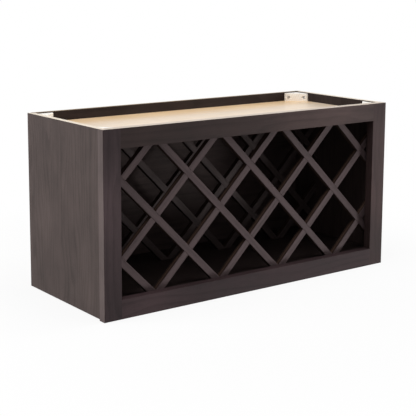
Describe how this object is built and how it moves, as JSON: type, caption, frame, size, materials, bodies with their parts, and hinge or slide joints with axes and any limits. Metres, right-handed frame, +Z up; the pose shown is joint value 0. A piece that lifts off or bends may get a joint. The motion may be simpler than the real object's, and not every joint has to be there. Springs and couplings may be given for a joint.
{
  "type": "wall wine rack cabinet",
  "caption": "Framed plywood wall cabinet in dark espresso stain, its open front filled by a diagonal lattice with a matching lattice behind, for wine bottles laid on their sides.",
  "frame": {"origin": "on the lowest plane of the face frame, under the middle of the box's width and depth", "axes": "+X to the right as seen from the front, +Y towards the wall, +Z up"},
  "size_m": [0.762, 0.3048, 0.381],
  "materials": {
    "espresso_frame": "satin dark espresso stain on solid hardwood, fine straight grain",
    "espresso_lattice": "satin dark espresso stain on solid hardwood strips",
    "espresso_panel": "satin dark espresso stain on veneered plywood, raw edges left pale",
    "raw_plywood": "clear unstained maple plywood on its upper face",
    "pale_hardwood": "unfinished planed hardwood",
    "screw_steel": "zinc plated"
  },
  "bodies": {
    "root": {"back_panel": "espresso_panel", "bottom_panel": "espresso_panel", "bottom_rail": "espresso_frame", "corner_block_screws": "screw_steel", "front_falling_strip_1": "espresso_lattice", "front_falling_strip_2": "espresso_lattice", "front_falling_strip_3": "espresso_lattice", "front_falling_strip_4": "espresso_lattice", "front_falling_strip_5": "espresso_lattice", "front_falling_strip_6": "espresso_lattice", "front_left_corner_block": "pale_hardwood", "front_right_corner_block": "pale_hardwood", "front_rising_strip_1": "espresso_lattice", "front_rising_strip_2": "espresso_lattice", "front_rising_strip_3": "espresso_lattice", "front_rising_strip_4": "espresso_lattice", "front_rising_strip_5": "espresso_lattice", "front_rising_strip_6": "espresso_lattice", "left_side_panel": "espresso_panel", "left_stile": "espresso_frame", "rear_falling_strip_1": "espresso_lattice", "rear_falling_strip_2": "espresso_lattice", "rear_falling_strip_3": "espresso_lattice", "rear_falling_strip_4": "espresso_lattice", "rear_falling_strip_5": "espresso_lattice", "rear_falling_strip_6": "espresso_lattice", "rear_left_corner_block": "pale_hardwood", "rear_right_corner_block": "pale_hardwood", "rear_rising_strip_1": "espresso_lattice", "rear_rising_strip_2": "espresso_lattice", "rear_rising_strip_3": "espresso_lattice", "rear_rising_strip_4": "espresso_lattice", "rear_rising_strip_5": "espresso_lattice", "rear_rising_strip_6": "espresso_lattice", "right_side_panel": "espresso_panel", "right_stile": "espresso_frame", "top_panel": "raw_plywood", "top_rail": "espresso_frame"}
  },
  "joints": []
}
